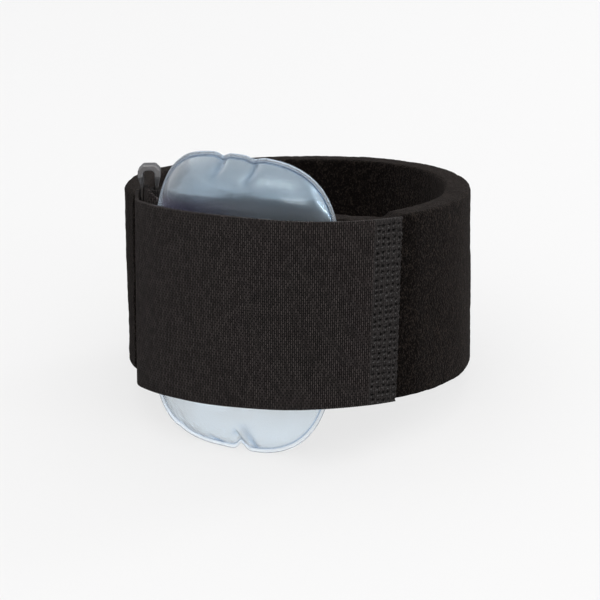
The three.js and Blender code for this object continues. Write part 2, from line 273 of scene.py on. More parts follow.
# Creases that run in from the weld: end, depth, width, then points (across, distance from the edge). They
# get shallower and wider along their run, and leave at least a share of the swell.
PAD_CREASES = (
    (1, 0.8, 0.75, ((-5.0, 1.0), (-4.6, 3.2), (-5.8, 5.6), (-7.0, 7.0))),
    (1, 0.9, 0.75, ((5.2, 1.0), (5.2, 3.2), (3.8, 5.2), (1.6, 6.4))),
    (-1, 0.7, 0.5, ((4.0, 1.0), (4.2, 3.0), (1.6, 5.6))),
    (-1, 0.9, 0.45, ((-2.6, 1.2), (-4.6, 1.9), (-6.8, 3.0))),
    (-1, 0.6, 0.9, ((8.3, 2.0), (6.6, 5.5), (5.0, 9.5))),
)
PAD_CREASE_FADE = 0.7
PAD_CREASE_KEEP = 0.25
# Depth of the dark blue painted shade in lines: along the weld's groove and the cut edge, each below and
# above the strap, and in creases; and how wide the first two are
LINE_SHADE_GROOVE = (0.5, 1.0)
LINE_SHADE_GROOVE_WIDTH = 0.28
LINE_SHADE_EDGE = (0.45, 0.5)
LINE_SHADE_EDGE_WIDTH = 0.15
LINE_SHADE_CREASE = 0.95
# Colour of the plain film, then dark blue painted line shade at half and at full depth, and the painted
# shade beside the strap
FILM_COLOUR_AND_SHADE = ((0.0, (0.89, 0.935, 0.97)), (0.5, (0.56, 0.67, 0.81)), (1.0, (0.06, 0.11, 0.19)))
FILM_SHADE_COLOUR = (0.36, 0.34, 0.5)
# Where painted shade lies on the film above the strap: heights and places across over which that fades, and
# distances from the edge over which it comes up
FILM_SHADE_UP = (27.0, 31.5)
FILM_SHADE_ACROSS = (-14.0, 10.0)
FILM_SHADE_EDGE = (1.4, 4.0)
# How much light passes, by the share of the way from the cut edge to the film past the weld
CLEAR_FROM_EDGE = ((0.0, 0.8), (0.1, 0.9), (0.55, 0.9), (0.75, 0.95), (0.8, 1.0))
CLEAR_PAST_FLANGE = 0.4
# Gloss of plain film and of film under the full painted line shade
FILM_GLOSS = ((0.0, 0.5), (1.0, 0.03))

# Camera, in the cuff's own frame: distance and aim in millimetres, elevation and roll in radians, and focal
# length over the picture's width
CAMERA_DISTANCE = 600.0
CAMERA_ELEVATION = 0.2409
CAMERA_ROLL = -0.0181
CAMERA_AIM = (-0.213, -0.077, -8.638)
CAMERA_FOCAL = 3.4194
SENSOR = 36.0

# Table and its part under the cuff: left, front, right, back
FLOOR = (-3.0, -3.0, 3.0, 3.0)
FLOOR_UNDER = (-0.06, -0.07, 0.06, 0.12)
FLOOR_GLOW = 0.67

# Lights: name, kind, place, aim, width and height, power in watts, roll in degrees, colour
CUFF_MIDDLE = (0, 0, 0.04)
PAD_TOP = (0, 0, 0.07)
WHITE = (1.0, 1.0, 1.0)
WARM = (1.0, 0.87, 0.78)
LIGHTS = (
    ("overhead", "lamp", (0.1, -0.4, 1.0), (0.1, -0.4, 0), (2.6, 3.6), 62, 0, WHITE),
    ("right_back", "lamp", (0.95, 0.55, 0.25), CUFF_MIDDLE, (0.3, 0.5), 7.0, 0, WHITE),
    ("right_front", "fill", (0.85, -0.75, 0.4), CUFF_MIDDLE, (0.5, 0.5), 4.0, 0, WHITE),
    ("overhead_card", "card", (-0.1, -0.4, 0.99), (-0.1, -0.4, 0), (2.6, 3.6), 22, 0, WHITE),
    ("left_card", "card", (-1.09, -0.29, 0.45), PAD_TOP, (1.1, 0.9), 6.4, 0, WHITE),
    ("left_back_card", "card", (-0.91, 0.71, 0.38), PAD_TOP, (1.1, 0.7), 1.6, 0, WHITE),
    ("front_card", "card", (-0.08, -0.47, 0.83), PAD_TOP, (0.55, 0.16), 0.9, 0, WARM),
    ("front_wide_card", "card", (-0.08, -0.5, 0.85), PAD_TOP, (0.95, 0.42), 2.4, 0, WARM),
    ("front_low_card", "card", (0.2, -0.92, 0.4), PAD_TOP, (0.6, 0.5), 3.6, 0, WARM),
    ("right_strip", "card", (0.8, -0.48, 0.38), PAD_TOP, (0.06, 0.9), 7.0, -15, WHITE),
)
STUDIO_COLOUR = (0.84, 0.84, 1.0, 1)
STUDIO_STRENGTH = 0.07


def smoothstep(x, low, high):
    t = np.clip((x - low) / (high - low), 0, 1)
    return t * t * (3 - 2 * t)


def plan(turn, radius):
    """Level point at a turn and radius."""
    angle = np.radians(turn)
    return np.stack([-radius * np.sin(angle), -radius * np.cos(angle)], -1)


def grey(tone):
    return tone, tone, tone


class Path:
    """Smooth level line through points, measured along its length."""

    STEPS = 200

    def __init__(self, points):
        p = np.asarray(points, float)
        p = np.vstack([2 * p[0] - p[1], p, 2 * p[-1] - p[-2]])
        t = np.linspace(0, 1, self.STEPS, endpoint=False)[:, None]
        spans = [self._span(p[i : i + 4], t) for i in range(len(p) - 3)]
        self.places = np.vstack([*spans, p[-2]])
        steps = np.linalg.norm(np.diff(self.places, axis=0), axis=1)
        self.along = np.concatenate([[0], np.cumsum(steps)])
        self.length = self.along[-1]
        tangents = np.gradient(self.places, self.along, axis=0)
        self.tangents = tangents / np.linalg.norm(tangents, axis=1)[:, None]

    @staticmethod
    def _span(p, t):
        """Centripetal spline between the middle two of four points."""
        d0, d1, d2 = np.sqrt(np.linalg.norm(np.diff(p, axis=0), axis=1))
        a, b, c, d = p
        start = d1 * ((b - a) / d0 - (c - a) / (d0 + d1) + (c - b) / d1)
        end = d1 * ((c - b) / d1 - (d - b) / (d1 + d2) + (d - c) / d2)
        square = -3 * b + 3 * c - 2 * start - end
        cube = 2 * b - 2 * c + start + end
        return b + t * (start + t * (square + t * cube))

    def _interp(self, along, table):
        return np.stack([np.interp(along, self.along, table[:, i]) for i in (0, 1)], -1)

    def at(self, along):
        return self._interp(along, self.places)

    def side(self, along):
        """Level direction square to the line, to the right of its run."""
        t = self._interp(along, self.tangents)
        t = t / np.linalg.norm(t, axis=-1)[..., None]
        return np.stack([t[..., 1], -t[..., 0]], -1)

    def wall(self, along, across, up):
        """Points of an upright wall: along the line, across it and up."""
        level = self.at(along) + self.side(along) * across[..., None]
        return np.concatenate([level, up[..., None]], -1)


def set_down(points):
    """Upright millimetres to metres at rest."""
    rotation = np.array(REST.to_3x3())
    return points.reshape(-1, 3) @ rotation.T * MM + np.array(REST.translation)


def lumps(points, sizes):
    """Height of an uneven surface at each point, from lumps of several sizes."""
    flat = points.reshape(-1, 3)
    total = np.zeros(len(flat))
    for size, height in sizes:
        scaled = flat / size
        total += height * np.array([noise.noise(Vector(p)) for p in scaled])
    return total.reshape(points.shape[:-1])


def lean_with_ring(points):
    """Lean points sideways with the ring, fully beside it and not at all further round the cuff."""
    flat = points.reshape(-1, 3).copy()
    away = np.hypot(flat[:, 0] - RING_CENTRE[0], flat[:, 1] - RING_CENTRE[1])
    flat[:, 0] += RING_LEAN * flat[:, 2] * (1 - smoothstep(away, LEAN_FULL, LEAN_GONE))
    return flat


def keep_vectors(mesh, name, vectors):
    """Keep a vector for each point of a mesh, for its material to read."""
    mesh.attributes.new(name, "FLOAT_VECTOR", "POINT")
    mesh.attributes[name].data.foreach_set("vector", vectors.astype(np.float32).ravel())


def make_piece(name, points, faces, node, detail=None, sharp=50):
    """A piece that stands for one CAD node and rides on its body. It keeps the upright place of each point,
    and its detail: on tape the place in the weave and the relief, on film the depth of painted line shade,
    the distance from the edge and the depth of painted shade beside the strap. Edges over sharp degrees
    aren't smoothed."""
    flat = lean_with_ring(points)
    mesh = bpy.data.meshes.new(name)
    mesh.from_pydata(set_down(flat).tolist(), [], faces)
    keep_vectors(mesh, "upright", flat)
    if detail is not None:
        keep_vectors(mesh, "detail", detail)
    mesh.polygons.foreach_set("use_smooth", [True] * len(mesh.polygons))
    mesh.set_sharp_from_angle(angle=math.radians(sharp))
    piece = bpy.data.objects.new(name, mesh)
    bpy.context.scene.collection.objects.link(piece)
    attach(piece, "root")
    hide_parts(node)
    return piece


def tube_faces(rings, count):
    """Faces of a closed skin over rings of points, with one face on each end."""
    a = np.arange(rings - 1)[:, None] * count + np.arange(count)[None, :]
    b = np.arange(rings - 1)[:, None] * count + (np.arange(count) + 1)[None, :] % count
    quads = np.stack([a, a + count, b + count, b], -1).reshape(-1, 4)
    last = (rings - 1) * count
    ends = [list(range(count)), list(range(last + count - 1, last - 1, -1))]
    return quads.tolist() + ends


def wall_section(thick, height, round_, corner_steps, face_steps, rim_steps):
    """Closed outline of a wall: offsets across and up from its middle, and the outward direction there."""
    half, tall = thick / 2 - round_, height / 2 - round_
    corners = ((half, tall, 0), (-half, tall, 90), (-half, -tall, 180), (half, -tall, 270))
    runs = (rim_steps, face_steps, rim_steps, face_steps)
    outline = []
    for (across, up, start), run, after in zip(corners, runs, corners[1:] + corners[:1]):
        for step in range(corner_steps + 1):
            angle = math.radians(start + 90 * step / corner_steps)
            c, s = math.cos(angle), math.sin(angle)
            outline.append((across + round_ * c, up + round_ * s, c, s))
        # The straight run to the next corner keeps the direction in which this one ended
        for step in range(1, run):
            t = step / run
            x, z = across + (after[0] - across) * t, up + (after[1] - up) * t
            outline.append((x + round_ * c, z + round_ * s, c, s))
    return np.array(outline).T


def band_path():
    return Path(plan(BAND_TURNS, BAND_RADII - BAND_WALL / 2))


def band_dip(path, along):
    """How far the band's top edge dips at each distance."""
    places = path.at(along)
    turn = np.degrees(np.arctan2(-places[:, 0], -places[:, 1]))
    # The band overlaps itself, so its turns are counted on past a full circle
    near = np.interp(along, [0, path.length], [BAND_TURNS[0], BAND_TURNS[-1]])
    turn += 360 * np.round((near - turn) / 360)
    return np.interp(turn, BAND_TURNS, BAND_DIPS)


def foam_band():
    path = band_path()
    stations = int(path.length / BAND_STEP)
    distances = np.linspace(0, path.length, stations)
    face_steps = int(BAND_HEIGHT / BAND_STEP)
    across, up, out_across, out_up = wall_section(
        BAND_WALL, BAND_HEIGHT, BAND_ROUND, BAND_CORNER_STEPS, face_steps, BAND_RIM_STEPS
    )
    along = distances[:, None]
    from_end = np.minimum(along, path.length - along)
    keep = 1 - (1 - np.minimum(1, from_end / BAND_ROUND)) ** 2 * BAND_END_PINCH
    across = across[None, :] * keep
    dip = band_dip(path, distances)[:, None]
    up = up[None, :] - dip * np.clip(2 * up / BAND_HEIGHT, 0, 1)[None, :]
    along = np.broadcast_to(along, across.shape)
    smooth = path.wall(along, across, up)
    rise = lumps(smooth, PILE_LUMPS)
    points = path.wall(along, across + rise * out_across, up + rise * out_up)
    faces = tube_faces(stations, len(out_up))
    piece = make_piece("foam_band_pile", points, faces, "foam_band")
    return piece


def ring_bar(side):
    """Centre of one of the ring's side bars: -1 on the strap's side, +1 on the tab's."""
    return RING_CENTRE[0] + side * (RING_WIDTH - RING_SIDE_BAR) / 2, RING_CENTRE[1]


def around_bar(side, end, thick, steps):
    """Run of a strip from the slot round a side bar, over its back (+1) or front (-1) end."""
    x, y = ring_bar(side)
    half = RING_SIDE_BAR / 2
    radius = half + GAP + thick / 2
    straight = RING_THICK / 2 - half
    angle = np.linspace(0, math.pi, steps + 1)
    turned = np.stack([x - side * radius * np.cos(angle), y + end * (straight + radius * np.sin(angle))], -1)
    first = (turned[0, 0], y - end * straight)
    last = (turned[-1, 0], y - end * straight)
    return np.vstack([first, turned, last])


def strap_runs():
    """Points of the strap's tail, of its fold round the ring's bar and of its front."""
    tail = [plan(*row) for row in STRAP_TAIL_ROWS]
    fold = around_bar(-1, 1, STRAP_THICK, STRAP_FOLD_STEPS)
    front = [plan(*row) for row in STRAP_FRONT_ROWS]
    return tail, fold, front


def strap_edges(path, along):
    """Heights of the strap's lower and upper edge, and how near each place is to the free end."""
    tail, fold, _ = strap_runs()
    counts = (1, STRAP_FOLD_KEPT, len(fold))
    slot_start, fold_out, fold_end = (Path(np.vstack([tail, fold[:n]])).length for n in counts)
    in_slot = smoothstep(along, slot_start - STRAP_RISE_LENGTH, slot_start)
    in_slot = in_slot * (1 - smoothstep(along, fold_out, fold_end))
    to_end = smoothstep(along / path.length, STRAP_TAPER_FROM, 1)
    edges = []
    for side, slot, end in (STRAP_BOTTOM, STRAP_TOP):
        level = side + (slot - side) * in_slot
        edges.append((level + (end - level) * to_end)[:, None])
    return *edges, to_end[:, None]


def strap_wall(path, along, section, thick, relief, ragged):
    """Points of the strap at the given distances, with its relief, and where each lies in the weave."""
    across, up, out_across, out_up = section
    across = across * thick / STRAP_THICK
    bottom, top, to_end = strap_edges(path, along)
    height = (top + bottom) / 2 + up[None, :] * (top - bottom)
    end_share = np.clip((STRAP_TOP[2] - height) / (STRAP_TOP[2] - STRAP_BOTTOM[2]), 0, 1)
    at = along[:, None] - STRAP_SLANT * end_share * to_end
    to_cut = smoothstep(along, path.length - RAGGED_LENGTH, path.length)[:, None]
    waves = sum(np.sin(rate * height + start) for rate, start in RAGGED_WAVES)
    at = at + ragged * to_cut * (waves - RAGGED_INWARD)
    spread = along[:, None] + 0 * height
    raised = relief(spread, height)
    detail = np.stack([spread, height, raised], -1)
    return path.wall(at, across + raised * out_across, height + raised * out_up), detail


def rib_relief(along, up):
    """Grooves between the upright ribs of the woven tape."""
    return RIB_HEIGHT * (np.abs(np.sin(math.pi * along / RIB_PITCH)) - 1)


def pit_relief(weld_from):
    """Pits and beads over the welded end."""
    stray = np.random.default_rng(PIT_SEED).uniform(-1, 1, (PIT_COLUMNS, PIT_ROWS, 3))
    stray *= (PIT_STRAY, PIT_STRAY, PIT_DEPTH_STRAY)

    def relief(along, up):
        raised = np.zeros_like(along)
        for column in range(PIT_COLUMNS):
            for row in range(PIT_ROWS):
                off_along, off_up, depth = stray[column, row]
                a = along - weld_from - PIT_FROM - (column + PIT_FIRST[0]) * PIT_SPACING[0] - off_along
                u = up - STRAP_BOTTOM[2] - (row + PIT_FIRST[1]) * PIT_SPACING[1] - off_up
                raised -= PIT_DEPTH * (1 + depth) * np.exp(-((a * a + u * u) / PIT_RADIUS**2))
                a, u = a - BEAD_OFF[0], u - BEAD_OFF[1]
                raised += BEAD_HEIGHT * np.exp(-((a * a + u * u) / BEAD_RADIUS**2))
        return raised

    return relief


def strap_part(name, path, along, face_steps, thick, relief, ragged=0):
    """The stretch of the strap over the given distances."""
    section = wall_section(
        STRAP_THICK, STRAP_TALL, STRIP_ROUND, STRIP_CORNER_STEPS, face_steps, STRIP_RIM_STEPS
    )
    section[1] /= STRAP_TALL
    points, detail = strap_wall(path, along, section, thick, relief, ragged)
    faces = tube_faces(len(along), section.shape[1])
    return make_piece(name, points, faces, "closure_strap", detail)


def closure_strap():
    path = Path(np.vstack(strap_runs()))
    weld_from = path.length - WELD_LENGTH
    along = np.linspace(0, weld_from, int(weld_from / RIB_PITCH * RIB_SAMPLES))
    strap = strap_part("closure_strap_weave", path, along, STRAP_FACE_STEPS, STRAP_THICK, rib_relief)
    along = np.linspace(weld_from, path.length, int(WELD_LENGTH / WELD_STEP))
    face_steps = int(STRAP_TALL / WELD_STEP)
    pits = pit_relief(weld_from)
    weld = strap_part("closure_strap_weld", path, along, face_steps, WELD_THICK, pits, RAGGED_SIZE)
    return strap, weld


def mirrored(right_half):
    """Closed outline that is the same left and right, from its right half listed upwards."""
    return right_half + [(-x, z) for x, z in reversed(right_half)]


def ring_outlines():
    """Outer and inner outline of the ring, seen from the front."""
    foot, head = RING_WIDTH / 2, RING_HEAD_WIDTH / 2
    slot = foot - RING_SIDE_BAR
    low, high = RING_BOTTOM + RING_END_BAR, RING_TOP - RING_END_BAR
    outer = [
        (foot - RING_FOOT_CHAMFER, RING_BOTTOM),
        (foot, RING_BOTTOM + RING_FOOT_CHAMFER),
        (foot, RING_NECK),
        (head, RING_HEAD_LOW),
        (head, RING_TOP - RING_CHAMFER),
        (head - RING_CHAMFER, RING_TOP),
    ]
    inner = [
        (slot - RING_SLOT_CHAMFER, low),
        (slot, low + RING_SLOT_CHAMFER),
        (slot, RING_NECK),
        (slot, RING_HEAD_LOW),
        (slot, high - RING_SLOT_CHAMFER),
        (slot - RING_SLOT_CHAMFER, high),
    ]
    return mirrored(outer), mirrored(inner)


def strap_ring():
    outer, inner = ring_outlines()
    x0, y0 = RING_CENTRE
    front = [y0 - RING_THICK / 2 + (RING_RECESS if z <= RING_NECK else 0) for _, z in outer + inner]
    points = [(x0 + x, y, z) for (x, z), y in zip(outer + inner, front)]
    points += [(x0 + x, y0 + RING_THICK / 2, z) for x, z in outer + inner]
    count = len(outer)
    front_outer, front_inner, back_outer, back_inner = (k * count for k in range(4))
    strips = (
        (front_outer, front_inner),
        (back_inner, back_outer),
        (back_outer, front_outer),
        (front_inner, back_inner),
    )
    faces = []
    for i in range(count):
        j = (i + 1) % count
        faces += [(one + i, one + j, other + j, other + i) for one, other in strips]
    ring = make_piece("strap_ring_moulded", np.array(points), faces, "strap_ring", sharp=180)
    bevel = ring.modifiers.new("edges", "BEVEL")
    bevel.width = RING_BEVEL * MM
    bevel.segments = 3
    bevel.limit_method = "ANGLE"
    bevel.harden_normals = True
    return ring


def ring_tab():
    band = band_path()
    distances = np.array([TAB_LENGTH, TAB_LENGTH / 2, 0])

    def on_band(layer):
        """Points of a layer on the band's inner face, up to the ring."""
        offset = BAND_WALL / 2 + layer * (GAP + TAB_THICK) - TAB_THICK / 2
        return band.at(distances) + band.side(distances) * offset

    under, fold = on_band(1), around_bar(1, -1, TAB_THICK, TAB_FOLD_STEPS)
    path = Path(np.vstack([under, fold, on_band(2)[::-1]]))
    fold_start, fold_end = (Path(np.vstack([under, fold[:n]])).length for n in (1, len(fold)))
    stations = int(path.length / TAB_STEP)
    tall = TAB_TOP[1] - TAB_BOTTOM
    section = wall_section(TAB_THICK, tall, STRIP_ROUND, STRIP_CORNER_STEPS, TAB_FACE_STEPS, STRIP_RIM_STEPS)
    along = np.linspace(0, path.length, stations)[:, None] + 0 * section[0]
    risen = smoothstep(along, fold_start - TAB_RISE_LENGTH, fold_start)
    fallen = smoothstep(along, fold_end, fold_end + TAB_RISE_LENGTH)
    top = TAB_TOP[0] + (TAB_TOP[1] - TAB_TOP[0]) * (risen - fallen)
    across = np.broadcast_to(section[0], along.shape)
    up = (top + TAB_BOTTOM) / 2 + section[1] / tall * (top - TAB_BOTTOM)
    detail = np.stack([along, up, 0 * along], -1)
    points = path.wall(along, across, up)
    faces = tube_faces(stations, section.shape[1])
    return make_piece("ring_tab_webbing", points, faces, "ring_tab", detail)


def pad_reach(angle):
    """Distance from the pad's centre to its welded edge at an angle, and how far puckers pull the edge in."""
    shoulder = np.where(np.cos(angle) < 0, PAD_SHOULDER * np.maximum(0, np.sin(angle)), 0)
    across = np.abs(np.cos(angle)) / (PAD_HALF_WIDTH + shoulder)
    up = np.abs(np.sin(angle)) / PAD_HALF_HEIGHT
    smooth = (across**PAD_SQUARENESS + up**PAD_SQUARENESS) ** (-1 / PAD_SQUARENESS)
    pulled = np.zeros_like(smooth)
    for end, at, depth, width in PAD_PUCKERS:
        off = (smooth * np.cos(angle) - at) / width
        pulled += np.where(np.sin(angle) * end > 0, depth * np.exp(-off * off), 0)
    return smooth - pulled, pulled


def crease_place(line, across, edge):
    """Distance of each point from a crease's line, and the share of its run at the nearest place."""
    spans = np.linalg.norm(np.diff(line, axis=0), axis=1)
    nearest = np.full_like(across, np.inf)
    run = np.zeros_like(across)
    for start, stop, span, before in zip(line, line[1:], spans, np.cumsum(spans) - spans):
        way = (stop - start) / span
        t = np.clip((across - start[0]) * way[0] + (edge - start[1]) * way[1], 0, span)
        off = np.hypot(across - start[0] - t * way[0], edge - start[1] - t * way[1])
        closer = off < nearest
        nearest = np.where(closer, off, nearest)
        run = np.where(closer, before + t, run)
    return nearest, run / spans.sum()


def pad_crease(across, up, edge):
    """How far the film is drawn in at the creases."""
    drawn = np.zeros_like(across)
    for end, depth, width, line in PAD_CREASES:
        nearest, share = crease_place(np.array(line), across, edge)
        valley = np.exp(-((nearest / (width * (1 + share))) ** 2)) * (1 - share) ** PAD_CREASE_FADE
        drawn = np.maximum(drawn, np.where(up * end > 0, depth * valley, 0))
    return drawn


def pad_swell(turn, z, edge, pulled, side):
    """How far the film stands out from the weld."""
    in_front = side > 0
    held = np.interp(turn, PAD_TURNS, HELD_FRONT if in_front else HELD_BACK)
    free = np.interp(turn, PAD_TURNS, SWELL_FRONT if in_front else SWELL_BACK)
    freed = smoothstep(np.abs(z), *(PAD_FREE_FRONT if in_front else PAD_FREE_BACK))
    swell = held + (free - held) * freed * np.where(z < 0, PAD_LOWER_SHARE, 1)
    eased = edge + pulled * smoothstep(edge, PAD_FLANGE, PAD_FLANGE + PAD_PUCKER_FADE)
    inside = np.clip((eased - PAD_FLANGE) / PAD_BOW, 0, 1)
    bow = (1 - (1 - inside) ** 2) ** PAD_BOW_POWER
    return (swell - PAD_FILM) * bow


def pad_line_shade(z, edge, crease):
    """Depth of the dark blue painted shade in creases, along the weld's groove and along the cut edge."""
    groove, cut = (np.where(z < 0, *depths) for depths in (LINE_SHADE_GROOVE, LINE_SHADE_EDGE))
    in_groove = groove * np.exp(-(((edge - PAD_FLANGE) / LINE_SHADE_GROOVE_WIDTH) ** 2))
    at_cut = cut * np.exp(-((edge / LINE_SHADE_EDGE_WIDTH) ** 2))
    line_shade = np.maximum(LINE_SHADE_CREASE * np.minimum(1, crease), in_groove)
    return np.maximum(line_shade, at_cut)


def pad_strap_shade(across, z, edge, side):
    """How deep the painted shade on the front film above the strap is."""
    # Painted shade on the front film just above the strap, strongest towards the left
    low = (1 - smoothstep(z, *FILM_SHADE_UP)) * (z > 0)
    left = 1 - smoothstep(across, *FILM_SHADE_ACROSS)
    return low * left * smoothstep(edge, *FILM_SHADE_EDGE) * (side > 0)


def pad_surface(angle, edge, side, film):
    """The pad's front (+1) or back (-1) face at a distance from its edge, and its detail there; film is how
    far inside the outer face."""
    reach, pulled = pad_reach(angle)
    share = 1 - edge / reach
    across, up = share * reach * np.cos(angle), share * reach * np.sin(angle)
    z = PAD_RISE + up * math.cos(PAD_TWIST) - across * math.sin(PAD_TWIST)
    run = across * math.cos(PAD_TWIST) + up * math.sin(PAD_TWIST)
    turn = PAD_TURN - np.degrees(run / PAD_RADIUS)
    puffed = pad_swell(turn, z, edge, pulled, side)
    crease = pad_crease(across, up, edge) if side > 0 else 0 * edge
    rim = np.interp(edge, *np.array(PAD_RIM).T)
    lift = rim + np.maximum(PAD_CREASE_KEEP * puffed, puffed - crease) - film
    middle = np.interp(turn, PAD_TURNS, PAD_MIDDLES)
    level = plan(turn, middle + side * lift)
    # Detail on the film: depth of painted line shade, distance from the edge, depth of painted shade beside
    # the strap
    detail = np.stack([pad_line_shade(z, edge, crease), edge, pad_strap_shade(across, z, edge, side)], -1)
    return np.concatenate([level, z[..., None]], -1), detail


def pad_shell(edges, film):
    """Rings of points over both faces of the pad, from its front middle round the edge to its back middle,
    and their detail. After the middle rings come those at the given distances from the edge."""
    angle = np.linspace(0, 2 * math.pi, PAD_SIDES, endpoint=False)
    reach, _ = pad_reach(angle)
    depths = [share * reach for share in PAD_MIDDLE_SHARES]
    depths += [edge + 0 * reach for edge in edges]
    rings = [pad_surface(angle, depth, 1, film) for depth in depths]
    rings += [pad_surface(angle, depth, -1, film) for depth in reversed(depths)]
    points, detail = zip(*rings)
    return np.array(points), np.array(detail)


def air_pad():
    shares = np.linspace(1, 0, PAD_SLOPE_RINGS) ** PAD_SLOPE_POWER
    slope = list(PAD_FLANGE + PAD_SLOPE_OFF + PAD_SLOPE_WIDTH * shares)
    rim = [PAD_FLANGE, *(edge for edge, _ in reversed(PAD_RIM[:-1]))]
    outer, outer_detail = pad_shell(slope + rim, 0.0)
    inner, inner_detail = pad_shell(slope, PAD_FILM)
    outer_faces = tube_faces(len(outer), PAD_SIDES)
    shift = outer.shape[0] * outer.shape[1]
    inner_faces = [[shift + i for i in reversed(face)] for face in tube_faces(len(inner), PAD_SIDES)]
    points = np.vstack([outer.reshape(-1, 3), inner.reshape(-1, 3)])
    detail = np.vstack([outer_detail.reshape(-1, 3), inner_detail.reshape(-1, 3)])
    pad = make_piece("air_pad_vinyl", points, outer_faces + inner_faces, "air_pad", detail, sharp=35)
    # Clear film lets nearly all the light through
    pad.visible_shadow = False
    return pad


class Shader:
    """A procedural material with one principled surface."""

    # The mix node's sockets for colours
    MIX_UNDER, MIX_OVER, MIX_COLOUR = 6, 7, 2

    def __init__(self, name, **values):
        self.material = bpy.data.materials.new(name)
        self.material.use_nodes = True
        self.nodes = self.material.node_tree.nodes
        self.links = self.material.node_tree.links
        self.surface = self.nodes["Principled BSDF"]
        for socket, value in values.items():
            self.surface.inputs[socket.replace("_", " ")].default_value = value

    def node(self, kind, inputs=None, **settings):
        made = self.nodes.new(kind)
        for key, value in settings.items():
            setattr(made, key, value)
        for key, value in (inputs or {}).items():
            if isinstance(value, bpy.types.NodeSocket):
                self.links.new(value, made.inputs[key])
            else:
                made.inputs[key].default_value = value
        return made

    def feed(self, socket, value):
        """Link a value to one of the surface's sockets."""
        self.links.new(value, self.surface.inputs[socket])

    def kept(self, attribute):
        """A vector that the mesh keeps for each point."""
        return self.node("ShaderNodeAttribute", attribute_name=attribute).outputs["Vector"]

    def parts(self, vector):
        return self.node("ShaderNodeSeparateXYZ", {0: vector}).outputs

    def vectors(self, operation, one, other):
        return self.node("ShaderNodeVectorMath", {0: one, 1: other}, operation=operation).outputs[0]

    def noise(self, place, size, detail=2.0, rough=0.55, output="Fac"):
        """Cloudy noise of a size in the units of the place."""
        inputs = {"Vector": place, "Scale": 1 / size, "Detail": detail, "Roughness": rough}
        return self.node("ShaderNodeTexNoise", inputs).outputs[output]

    def share(self, value, low, high):
        """How far a value is on the way from low to high."""
        inputs = {"Value": value, "From Min": low, "From Max": high}
        return self.node("ShaderNodeMapRange", inputs).outputs[0]

    def mix(self, share, under, over):
        """Colour on the way from under to over."""
        inputs = {0: share, self.MIX_UNDER: under, self.MIX_OVER: (*over, 1)}
        return self.node("ShaderNodeMix", inputs, data_type="RGBA").outputs[self.MIX_COLOUR]

    def ramp(self, value, stops):
        """Colours along a value."""
        made = self.node("ShaderNodeValToRGB", {"Fac": value})
        elements = made.color_ramp.elements
        elements[0].position, elements[1].position = stops[0][0], stops[-1][0]
        for at, _ in stops[1:-1]:
            elements.new(at)
        for element, (_, colour) in zip(elements, stops):
            element.color = (*colour, 1)
        return made.outputs["Color"]

    def grey_ramp(self, value, stops):
        return self.ramp(value, [(at, grey(tone)) for at, tone in stops])

    def bump(self, height, depth, after=None, inward=False):
        """Bump the surface by a depth in millimetres, on top of a bump that came before."""
        made = self.node("ShaderNodeBump", {"Height": height, "Distance": depth * MM}, invert=inward)
        if after is not None:
            self.links.new(after, made.inputs["Normal"])
        self.feed("Normal", made.outputs["Normal"])
        return made.outputs["Normal"]


def pile_material():
    """Short brushed loops: small knots set apart by hollows darkened with painted shade, with finer hair over
    them.
    """
    shader = Shader(
        "brushed_pile",
        Roughness=0.95,
        Specular_IOR_Level=0.03,
        Sheen_Weight=0.06,
        Sheen_Roughness=0.45,
        Sheen_Tint=(0.5, 0.44, 0.42, 1),
    )
    place = shader.vectors("MULTIPLY", shader.kept("upright"), PILE_SCALE)
    stray = shader.noise(place, PILE_STRAY, rough=0.5, output="Color")
    loops = shader.node(
        "ShaderNodeTexVoronoi",
        {"Vector": shader.vectors("ADD", place, stray), "Scale": 1 / PILE_LOOP, "Smoothness": 0.5},
        feature="SMOOTH_F1",
    ).outputs["Distance"]
    patches = shader.noise(place, PILE_PATCH, detail=3, rough=0.6)
    uneven = shader.node("ShaderNodeMath", {0: loops, 1: patches}, operation="ADD").outputs[0]
    # Distance from the loops' centres darkens the hollows with painted shade; the patches vary the tone at
    # random
    shader.feed("Base Color", shader.ramp(uneven, ((0.56, PILE_KNOT_COLOUR), (1.0, PILE_HOLLOW_SHADE))))
    normal = shader.bump(shader.noise(place, PILE_HAIR, rough=0.6), depth=0.16)
    shader.bump(loops, depth=0.35, after=normal, inward=True)
    return shader.material


def stitches(shader, tones_and_shade):
    """Upright ribs of stitches, each rib set off by half a stitch, with painted shade in the grooves between
    them; gives their colour, their hollows and the tape's relief."""
    dark, light, groove = tones_and_shade
    parts = shader.parts(shader.kept("detail"))
    turned = shader.node("ShaderNodeCombineXYZ", {"X": parts["Y"], "Y": parts["X"]})
    # The mortar colour is painted shade in the grooves between the stitches
    bricks = shader.node(
        "ShaderNodeTexBrick",
        {
            "Vector": turned.outputs[0],
            "Color1": (*dark, 1),
            "Color2": (*light, 1),
            "Mortar": (*groove, 1),
            "Scale": 1.0,
            "Mortar Size": STITCH_GROOVE,
            "Mortar Smooth": 1.0,
            "Brick Width": STITCH_PITCH,
            "Row Height": RIB_PITCH,
        },
        offset=0.5,
    )
    return bricks.outputs["Color"], bricks.outputs["Fac"], parts["Z"]


def weave_material(name, tones_and_shade):
    """Woven tape, with fine yarn along its stitches."""
    shader = Shader(name, Roughness=0.75, Specular_IOR_Level=0.07, Sheen_Weight=0.02, Sheen_Roughness=0.5)
    colour, hollow, _ = stitches(shader, tones_and_shade)
    shader.feed("Base Color", colour)
    along_yarn = shader.vectors("MULTIPLY", shader.kept("detail"), YARN_SCALE)
    normal = shader.bump(shader.noise(along_yarn, size=0.12), depth=0.03)
    shader.bump(hollow, depth=0.16, after=normal, inward=True)
    return shader.material


